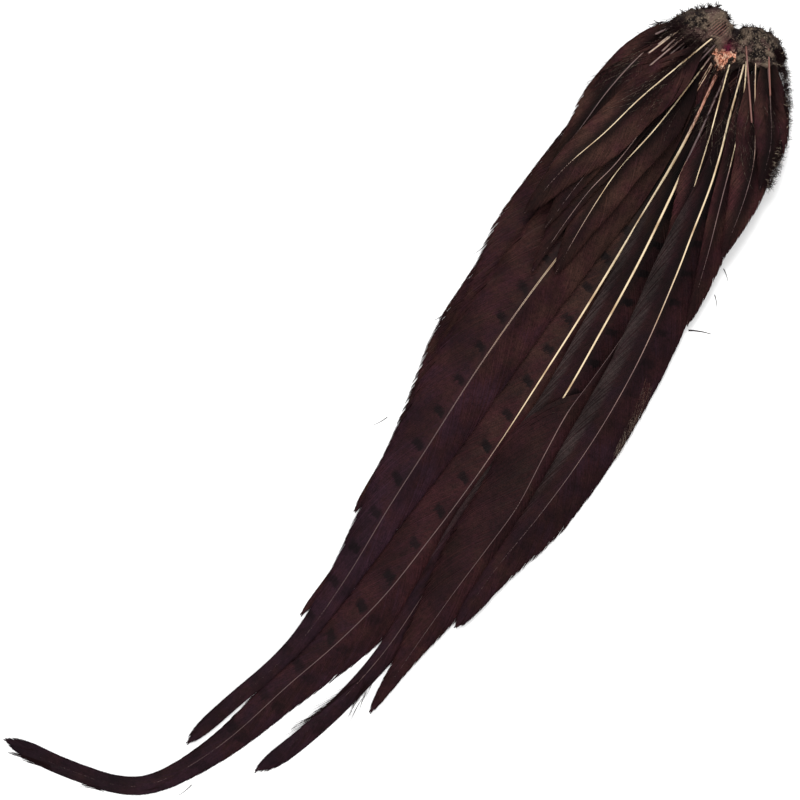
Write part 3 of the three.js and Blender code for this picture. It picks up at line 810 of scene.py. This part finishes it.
def skin_material():
    """Crusted grey-brown skin with pale flakes, and raw pink flesh in the V."""
    material, tree, skin = new_material("dried skin")
    place = output(tree.nodes.new("ShaderNodeTexCoord"), "Object")
    lumps, crust = mottled(tree, place, 260.0, 1100.0)
    tinge, fine = mottled(tree, place, 120.0, 2600.0)
    x, y, _ = place.parts()
    wrinkles = ((x * 0.34 + y * 0.94) * (math.tau / RIDGE_PITCH / MM)).math("SINE")
    ridged = read(tree, "ridged")
    # Darker where the skin dips and lighter where it swells: painted shade and light on the lumps,
    # mixed with blotchy mottling.
    height = read(tree, "swell").ramp(-0.5, 1.0) * 0.55 + lumps * 0.25 + crust * 0.3
    shade = mixed(tree, height.ramp(0.25, 0.9), colour(0.006, 0.004, 0.004),
                  colour(0.105, 0.076, 0.055))
    shade = mixed(tree, tinge.ramp(0.5, 1.0) * 0.6, shade, colour(0.085, 0.045, 0.042))
    shade = mixed(tree, (crust * 0.6 + fine * 0.4).ramp(0.72, 0.92), shade,
                  colour(0.19, 0.15, 0.11))
    # Pinkish crests and near-black troughs on the wrinkles, which are only bumps: painted light and
    # shade.
    shade = mixed(tree, ridged * wrinkles.ramp(0.0, 0.8) * 0.7, shade, colour(0.19, 0.085, 0.066))
    shade = mixed(tree, ridged * wrinkles.ramp(0.0, -0.8) * 0.8, shade, colour(0.014, 0.007, 0.007))
    # Near-black along the cleft between the lobes: painted shade.
    shade = mixed(tree, read(tree, "cleft"), shade, colour(0.007, 0.0035, 0.0045))
    shade = mixed(tree, x.ramp(-1.0 * MM, 5.0 * MM) * (0.5 + lumps * 0.35), shade,
                  colour(0.014, 0.008, 0.007))
    # Near-black on the lower sides of the pad, where they turn away from the light: painted shade.
    shade = mixed(tree, read(tree, "rim") * (0.45 + lumps * 0.5), shade,
                  colour(0.010, 0.006, 0.006))
    flesh = read(tree, "flesh")
    raw = mixed(tree, crust.ramp(0.1, 0.8), colour(0.20, 0.05, 0.025), colour(0.62, 0.27, 0.17))
    # Pale flecks on the raw flesh: painted highlights.
    raw = mixed(tree, lumps.ramp(0.45, 0.9) * fine.ramp(0.3, 0.75), raw, colour(0.85, 0.60, 0.43))
    opened = (flesh * 1.3 + (crust - 0.5) * 0.5 + (lumps - 0.5) * 0.5).ramp(0.4, 1.0)
    shade = mixed(tree, opened, shade, raw)
    shade = mixed(tree, read(tree, "wine") * crust.ramp(-0.3, 0.7), shade,
                  colour(0.085, 0.006, 0.022))
    plug(tree, shade, skin.inputs["Base Color"])
    plug(tree, 0.75 - flesh * 0.4, skin.inputs["Roughness"])
    skin.inputs["Specular IOR Level"].default_value = 0.08
    bump = node(tree, "ShaderNodeBump", Strength=1.0, Distance=0.0005,
                Height=lumps + crust * 0.6 + wrinkles * ridged * 0.6)
    plug(tree, output(bump, "Normal"), skin.inputs["Normal"])
    return material


def add_piece(name, mesh, material, replaced):
    piece = added(name, mesh)
    mesh.materials.append(material)
    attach(piece, "root")
    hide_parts(*replaced)


skin_mesh = root_mesh()
spots = np.array([vertex.co[:] for vertex in skin_mesh.vertices]) / MM
wine_away, ridges_away = (np.hypot(spots[:, 0] - x, spots[:, 1] - y)
                          for x, y in (WINE_SPOT_AT, RIDGES_AT))
torn = np.array([(noise.noise((x / 2.4, y / 2.4, 0)), noise.noise((x / 2.4, y / 2.4, 7)))
                 for x, y in spots[:, :2]]) * 3.2
for column, values in (
        ("flesh", inside_corners(*(spots[:, :2] + torn).T, FLESH_CORNERS, 1.6)
         * (1 - 0.5 * smooth(5, 12, spots[:, 0]))),
        ("ridged", np.exp(-(ridges_away / 4.6) ** 2)),
        # The cleft mask is for painted shade along the cleft between the lobes.
        ("cleft", np.exp(-((spots[:, 1] - 1.0) / 2.2) ** 2) * smooth(-6, -11, spots[:, 0])),
        ("wine", np.exp(-(wine_away / 3.4) ** 2))):
    skin_mesh.attributes.new(column, "FLOAT", "POINT").data.foreach_set("value", values.astype("f"))
add_piece("root_skin", skin_mesh, skin_material(), ["tail_root"])

# ---- The cut quills ------------------------------------------------------------------------------
# What is left of covert feathers that were cut off: hollow horn tubes, ivory on the left and
# stained red or pink on the right. Each lies where its solid does.
QUILL_SIDES = 14
QUILL_RINGS = [(0, 0.9), (0.3, 1), (0.6, 1), (0.97, 1), (1, 0.92), (1, 0.62), (0.93, 0.5)]
QUILL_LOOKS = {  # pale, blush
    "cut_quill_left_1": (0.3, 0), "cut_quill_left_2": (0.55, 0), "cut_quill_left_3": (0.45, 0),
    "cut_quill_left_4": (0.35, 0), "cut_quill_left_5": (0.55, 0), "cut_quill_left_6": (0.45, 0),
    "cut_quill_right_1": (0.3, 0.25), "cut_quill_right_2": (0.25, 0.4),
    "cut_quill_right_3": (0.3, 0.25)}


def cut_quills():
    built = bmesh.new()
    columns = {name: built.verts.layers.float.new(name)
               for name in ("shaft_along", "shaft_across", "pale", "blush", "groove")}
    for name, (pale, blush) in QUILL_LOOKS.items():
        corners = np.array([vertex.co[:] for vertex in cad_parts[name].data.vertices])
        middle = corners.mean(axis=0)
        axis = np.linalg.svd(corners - middle)[2][0]
        axis = axis * np.sign(axis[0])
        run = (corners - middle) @ axis
        radius = np.linalg.norm(corners - middle - np.outer(run, axis), axis=1).mean()
        flank = np.cross(axis, (0, 0, 1))
        flank /= np.linalg.norm(flank)
        up = np.cross(flank, axis)
        rings = []
        for part, width in QUILL_RINGS:
            centre = middle + axis * (run.min() + (run.max() - run.min()) * part)
            ring = []
            for turn in np.arange(QUILL_SIDES) * math.tau / QUILL_SIDES:
                across = math.cos(turn)
                corner = built.verts.new(centre + (flank * across + up * math.sin(turn))
                                         * radius * width)
                # The cut end gets no pale share, so it is dark: painted shade at the mouth of the
                # hollow.
                for key, value in (("shaft_along", run.max() * part), ("shaft_across", across),
                                   ("pale", pale * (part < 1)), ("blush", blush)):
                    corner[columns[key]] = value
                ring.append(corner)
            rings.append(ring)
        for ring, following in zip(rings, rings[1:]):
            for side in range(QUILL_SIDES):
                after = (side + 1) % QUILL_SIDES
                built.faces.new((ring[side], ring[after], following[after], following[side]))
        built.faces.new(rings[0])
        built.faces.new(rings[-1])
    bmesh.ops.recalc_face_normals(built, faces=built.faces[:])
    for face in built.faces:
        face.smooth = True
    mesh = bpy.data.meshes.new("cut_quills")
    built.to_mesh(mesh)
    built.free()
    return mesh


add_piece("cut_quills", cut_quills(), SHAFT_MATERIAL, list(QUILL_LOOKS))

# ---- The down and the loose fibres ---------------------------------------------------------------
# Dark down fills the space between the quills, curls out of the right edge and bristles round the
# root. Frayed barbs stand out of the left edge and of two worn tips.

def fibre_tree():
    """Points that carry three places each become thin fibres, curved through those places."""
    tree = bpy.data.node_groups.new("fibres", "GeometryNodeTree")
    add_sockets(tree, "INPUT", {"Strands": "Geometry", "Segments": "Int",
                                "Fibre Material": "Material"})
    add_sockets(tree, "OUTPUT", {"Fibres": "Geometry"})
    given = tree.nodes.new("NodeGroupInput").outputs
    prism = node(tree, "GeometryNodeMeshCylinder", {"fill_type": "NGON"}, Vertices=3,
                 Side_Segments=given["Segments"], Radius=1.0, Depth=1.0).outputs["Mesh"]
    fibres = node(tree, "GeometryNodeInstanceOnPoints", Points=given["Strands"],
                  Instance=prism).outputs["Instances"]
    fibres = node(tree, "GeometryNodeRealizeInstances", Geometry=fibres).outputs["Geometry"]
    rise, across, along = output(tree.nodes.new("GeometryNodeInputPosition"),
                                 "Position").parts()
    part = along + 0.5
    rest = 1.0 - part
    start, middle, end = (attribute(tree, name, "FLOAT_VECTOR")
                          for name in ("start", "middle", "end"))
    radius, wave, turns, phase = (attribute(tree, name)
                                  for name in ("radius", "wave", "turns", "phase"))
    line = start.scaled(rest * rest) + middle.scaled(part * rest * 2.0) + end.scaled(part * part)
    heading = (middle - start).scaled(rest) + (end - middle).scaled(part)
    hx, hy, _ = heading.parts()
    flank = vector_of(tree, hy, hx * -1.0, 0.0).math("NORMALIZE")
    swing = ((part * turns + phase) * math.tau).math("SINE") * wave * part
    width = radius * (1.0 - part * 0.6)
    x, y, z = (line + flank.scaled(swing + across * width)).parts()
    lowest = 0.1 * MM + rise * 0.04 * MM
    place = vector_of(tree, x, y, (z + rise * width).max(lowest))
    fibres = store(tree, fibres, "fibre_part", part)
    fibres = node(tree, "GeometryNodeSetPosition", Geometry=fibres, Position=place)
    fibres = node(tree, "GeometryNodeSetShadeSmooth", Geometry=fibres.outputs["Geometry"],
                  Shade_Smooth=False)
    fibres = node(tree, "GeometryNodeSetMaterial", Geometry=fibres.outputs["Geometry"],
                  Material=given["Fibre Material"])
    tree.links.new(fibres.outputs["Geometry"], tree.nodes.new("NodeGroupOutput").inputs[0])
    return tree


def down_material():
    """Fibres from near black to pale straw, some of them stained red."""
    material, tree, skin = new_material("down")
    tone, part = read(tree, "tone"), read(tree, "fibre_part")
    place = vector_of(tree, read(tree, "phase") * 40.0, part * 3.0, 0.0)
    fleck, bead = mottled(tree, place, 2.0, 5.0)
    light = (tone + (fleck - 0.5) * 0.2 + (bead - 0.6) * 0.25).ramp(0.15, 1.0)
    shade = mixed(tree, light, colour(0.012, 0.0055, 0.0060), colour(0.62, 0.50, 0.38))
    shade = mixed(tree, read(tree, "blush"), shade, colour(0.24, 0.05, 0.045))
    plug(tree, shade, skin.inputs["Base Color"])
    skin.inputs["Roughness"].default_value = 0.65
    skin.inputs["Specular IOR Level"].default_value = 0.03
    return material


lying = []
for node_name, solid_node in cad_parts.items():
    if node_name.startswith("cut_quill"):
        continue
    solid = solid_node.data
    lying.append(BVHTree.FromPolygons([vertex.co for vertex in solid.vertices],
                                      [face.vertices for face in solid.polygons]))


def surface(x, y):
    """The height of what lies on the table at a place, in millimetres."""
    hits = [tree.ray_cast(Vector((x * MM, y * MM, 1)), Vector((0, 0, -1)))[0] for tree in lying]
    return max([0] + [hit.z / MM for hit in hits if hit])


FIBRE_TREE = fibre_tree()
DOWN_MATERIAL = down_material()
luck = np.random.default_rng(11)


def strand(x, y, heading, length, tone, radius=0.09, bend=0.0, lift=(0.1, 0.7, 0.3), wave=0.0,
           turns=1.0, blush=0.0, level=None):
    """One fibre, in millimetres and degrees: it lies on what is under it, or stays at a level."""
    turn = math.radians(heading)
    step = np.array([math.cos(turn), math.sin(turn)]) * length
    start = np.array([x, y])
    places = start, start + step / 2 + np.array([-step[1], step[0]]) * bend, start + step
    row = []
    for place, up in zip(places, lift):
        row += [*place, (surface(*place) or surface(x, y) if level is None else level) + up]
    return [value * MM for value in (*row, radius, wave)] + [turns, luck.random(), tone, blush]


def fibres(name, strands, segments):
    table = np.array(strands)
    line = bpy.data.meshes.new(name)
    line.from_pydata([(0.0, 0.0, 0.0)] * len(table), [], [])
    for number, column in enumerate(("start", "middle", "end")):
        values = table[:, number * 3:number * 3 + 3]
        line.attributes.new(column, "FLOAT_VECTOR", "POINT").data.foreach_set(
            "vector", values.astype("f").ravel())
    for number, column in enumerate(("radius", "wave", "turns", "phase", "tone", "blush")):
        line.attributes.new(column, "FLOAT", "POINT").data.foreach_set(
            "value", table[:, 9 + number].astype("f"))
    piece = added(name, line)
    grown(piece, FIBRE_TREE, {"Segments": segments, "Fibre Material": DOWN_MATERIAL})
    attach(piece, "root")


def between(low, high):
    return luck.uniform(low, high)


def along_edge(edge):
    """A random place on a line through some corners, and the way the line runs there."""
    number = luck.integers(len(edge) - 1)
    (ax, ay), (bx, by) = edge[number], edge[number + 1]
    share = luck.random()
    way = math.degrees(math.atan2(by - ay, bx - ax))
    return ax + (bx - ax) * share, ay + (by - ay) * share, way


def scattered(count, *ranges, lift, wave, turns, level=None):
    """Strands at random: each of their values is fixed, or lies between two ends."""
    made = []
    for _ in range(count):
        *first, wave_here, turns_here, level_here = (
            between(*value) if isinstance(value, tuple) else value
            for value in (*ranges, wave, turns, level))
        made.append(strand(*first, lift, wave_here, turns_here, level=level_here))
    return made


base_down = []
for _ in range(620):
    y = between(-28, 36)
    x = between(2, 44)
    base_down.append(strand(x, y, y * 1.15 - 3 + between(-22, 22), between(8, 20),
                            between(0, 0.32), between(0.06, 0.12), between(-0.2, 0.2),
                            (0.1, between(0.2, 1.4), 0.2), between(0.1, 0.7), between(0.5, 2.5)))
# In order, after the count: x, y, heading, length, tone, radius and bend.
base_down += scattered(260, (3, 8), (4, 15), (0, 70), (5, 9), 0, (0.25, 0.4), (-0.2, 0.2),
                       lift=(0.3, 0.4, 0.3), wave=(0.2, 0.6), turns=(0.5, 1.5), level=(1.5, 4))
base_down += scattered(260, (0, 18), (-36, -12), (-75, 0), (4, 9), (0, 0.08), (0.16, 0.3),
                       (-0.2, 0.2), lift=(0.1, 0.3, 0.1), wave=(0.2, 0.7), turns=(0.5, 1.5))
base_down += scattered(220, (8, 34), (-8, 16), (-15, 45), (7, 14), (0, 0.12), (0.10, 0.2),
                       (-0.1, 0.1), lift=(0.1, 0.3, 0.1), wave=(0.1, 0.4), turns=(0.5, 1.5))
base_down += scattered(40, (22, 38), (4, 28), (-60, 70), (7, 13), (0.25, 0.45), (0.04, 0.055),
                       (-0.15, 0.15), lift=(0.2, 1.2, 0.5), wave=(0, 0.25), turns=(0.5, 1))
base_down += scattered(46, (14, 36), (-38, -20), (-45, -28), (12, 22), (0.25, 0.5), (0.05, 0.07),
                       (-0.15, 0.15), lift=(0.2, 0.9, 0.4), wave=(0.2, 0.7), turns=(0.8, 1.6))
fibres("base_down", base_down, 10)

RIGHT_EDGE = [(-15.6, 25.8), (-6.1, 35.2), (6.4, 44.6), (20.6, 51.3), (36.8, 55.7), (49.9, 58.2)]


def level_beside(x, y, inwards):
    """How high the nearest surface lies in one direction, for a fibre that hangs past an edge."""
    place = np.array([x, y], float)
    while surface(*place) < 0.5:
        place += inwards * 0.5
    return surface(*place)


edge_fluff = []
for _ in range(1500):
    x, y, way = along_edge(RIGHT_EDGE)
    inwards = np.array([math.sin(math.radians(way)), -math.cos(math.radians(way))])
    x, y = (x, y) + inwards * between(1, 5)
    tone = luck.random() ** 22 * 0.9 + 0.12 * luck.random() * math.exp(-((x - 36) / 5) ** 2)
    edge_fluff.append(strand(x, y, way + between(10, 130), between(1.5, 4), tone,
                             between(0.10, 0.22), between(-0.5, 0.5), (-0.2, 0.5, 0.3),
                             between(0.3, 0.9), between(0.8, 2.4),
                             level=level_beside(x, y, inwards)))
fibres("edge_fluff", edge_fluff, 9)

LEFT_EDGE = [(-3, -28), (6, -32), (16, -38), (30, -44), (48, -49)]
RIM = [(8, -22), (2, -30), (-6, -27), (-12, -21), (-17, -15), (-16, -9), (-13, -2), (-15, 4),
       (-19, 9), (-20, 16), (-18, 23), (-13, 29), (-6, 31)]
bristles = []
for _ in range(380):
    x, y, way = along_edge(LEFT_EDGE)
    bristles.append(strand(x, y + between(-0.5, 5), way + between(-30, 25), between(4, 10),
                           between(0, 0.25), between(0.08, 0.16), between(-0.15, 0.15),
                           (0.2, 0.6, 0.2), between(0, 0.3), 1.0))
for _ in range(44):
    x, y, way = along_edge(RIM)
    level = between(3, 12)
    for _ in range(luck.integers(8, 20)):
        bristles.append(strand(x * 0.98 + between(-0.7, 0.7), y * 0.98 + between(-0.7, 0.7),
                               way + 90 + between(-60, 60), between(1.2, 3.2), between(0, 0.15),
                               between(0.12, 0.24), between(-0.2, 0.2), (-0.5, 0.2, 0.4),
                               between(0, 0.3), 1.0, level=level))
fibres("bristles", bristles, 6)

worn_barbs = []
for _ in range(170):
    share = luck.random()
    x, y = 166 + 40 * share, 55.5 + 5.5 * share ** 0.6 + between(-1.5, 4) * (1 - share * 0.4)
    worn_barbs.append(strand(x, y, between(6, 24), between(4, 9),
                             between(0.15, 0.4) + 0.4 * share * luck.random(),
                             between(0.025, 0.055), between(-0.05, 0.1), (0.2, 0.4, 0.1), 0.1, 1.0,
                             between(0, 0.35) * (1 - share * 0.8),
                             level=level_beside(x, y, np.array([0, -1]))))
for _ in range(34):
    share = luck.random()
    worn_barbs.append(strand(376 + 36 * share, 9 - 12 * share, between(-38, -22),
                             between(7, 22), 0, between(0.1, 0.26), between(-0.1, 0.05),
                             (0.2, 0.4, 0.1), 0.1, 1.0))
worn_barbs += scattered(22, (374, 390), (10, 15), (-8, 16), (7, 13), 0, (0.1, 0.22),
                        (-0.05, 0.1), lift=(0.2, 0.4, 0.1), wave=0.1, turns=1.0)
worn_barbs += scattered(18, (499.5, 501.5), (-112, -104), (-80, -75), (12, 18), 0, (0.2, 0.35),
                        (-0.03, 0.03), lift=(0.2, 0.3, 0.1), wave=0.05, turns=1.0)
worn_barbs += scattered(8, (495.5, 497.5), (-80, -75), (-74, -68), (8, 12), 0, (0.12, 0.25),
                        (-0.05, 0.02), lift=(0.2, 0.3, 0.1), wave=0.05, turns=1.0)
LOOSE_BARB_TONE, LOOSE_BARB_BEND, LOOSE_BARB_LIFT = 0.05, 0.08, (0.2, 0.3, 0.1)
for x, y, heading, length, radius in (
        (133, 61, 112, 12, 0.5), (470, -38, -20, 9, 0.28), (480, -52, -50, 9, 0.28),
        (492, -100, -78, 8, 0.28), (497, -118, -70, 9, 0.28), (253, -50, -30, 9, 0.28),
        (190, -52, -25, 8, 0.28), (150, -53, -20, 8, 0.28), (300, 42, 20, 8, 0.28),
        (250, 56, 25, 7, 0.28), (110, 63, 40, 8, 0.28), (96, 60, 50, 7, 0.28)):
    worn_barbs.append(strand(x, y, heading, length, LOOSE_BARB_TONE, radius, LOOSE_BARB_BEND,
                             LOOSE_BARB_LIFT))
fibres("worn_barbs", worn_barbs, 8)

# ---- The floor, the light and the camera ---------------------------------------------------------
# A plain white table under soft light from all round, seen straight from above.
FLOOR_REACH = 4.0
floor_mesh = bpy.data.meshes.new("floor")
floor_mesh.from_pydata([(x * FLOOR_REACH, y * FLOOR_REACH, 0)
                        for x, y in ((-1, -1), (1, -1), (1, 1), (-1, 1))], [], [(0, 1, 2, 3)])
floor = added("floor", floor_mesh)
floor_material, _, floor_shader = new_material("white table")
floor_shader.inputs["Base Color"].default_value = colour(0.9, 0.9, 0.9)
floor_shader.inputs["Roughness"].default_value = 0.8
floor_mesh.materials.append(floor_material)

world = bpy.data.worlds.new("studio")
world.use_nodes = True
world.node_tree.nodes["Background"].inputs["Color"].default_value = colour(1, 1, 1)
world.node_tree.nodes["Background"].inputs["Strength"].default_value = 0.9
bpy.context.scene.world = world
bpy.context.scene.view_settings.view_transform = "Standard"


LAMPS_AIM_AT = (0.24, -0.05, 0)


def lamp(name, place, width, power):
    light = bpy.data.lights.new(name, "AREA")
    light.size = width
    light.energy = power
    made = added(name, light)
    made.location = place
    aim = Vector(LAMPS_AIM_AT) - Vector(place)
    made.rotation_euler = aim.to_track_quat("-Z", "Y").to_euler()


lamp("key", (-0.5, -0.7, 1.5), 0.8, 26)
lamp("fill", (1.0, 0.9, 1.3), 1.0, 10)

VIEW_MIDDLE = Vector((242 * MM, -49 * MM, 0))
VIEW_RIGHT = Vector((-0.518, 0.8554, 0))
VIEW_UP = Vector((-0.8554, -0.518, 0))
VIEW_WIDTH = 416 * MM
LENS, SENSOR = 100, 36
camera_data = bpy.data.cameras.new("camera")
camera_data.lens = LENS
camera_data.sensor_width = SENSOR
camera = added("camera", camera_data)
camera.location = VIEW_MIDDLE + Vector((0, 0, VIEW_WIDTH * LENS / SENSOR + 4 * MM))
back = VIEW_RIGHT.cross(VIEW_UP)
camera.rotation_euler = Matrix((VIEW_RIGHT, VIEW_UP, back)).transposed().to_euler()
bpy.context.scene.camera = camera
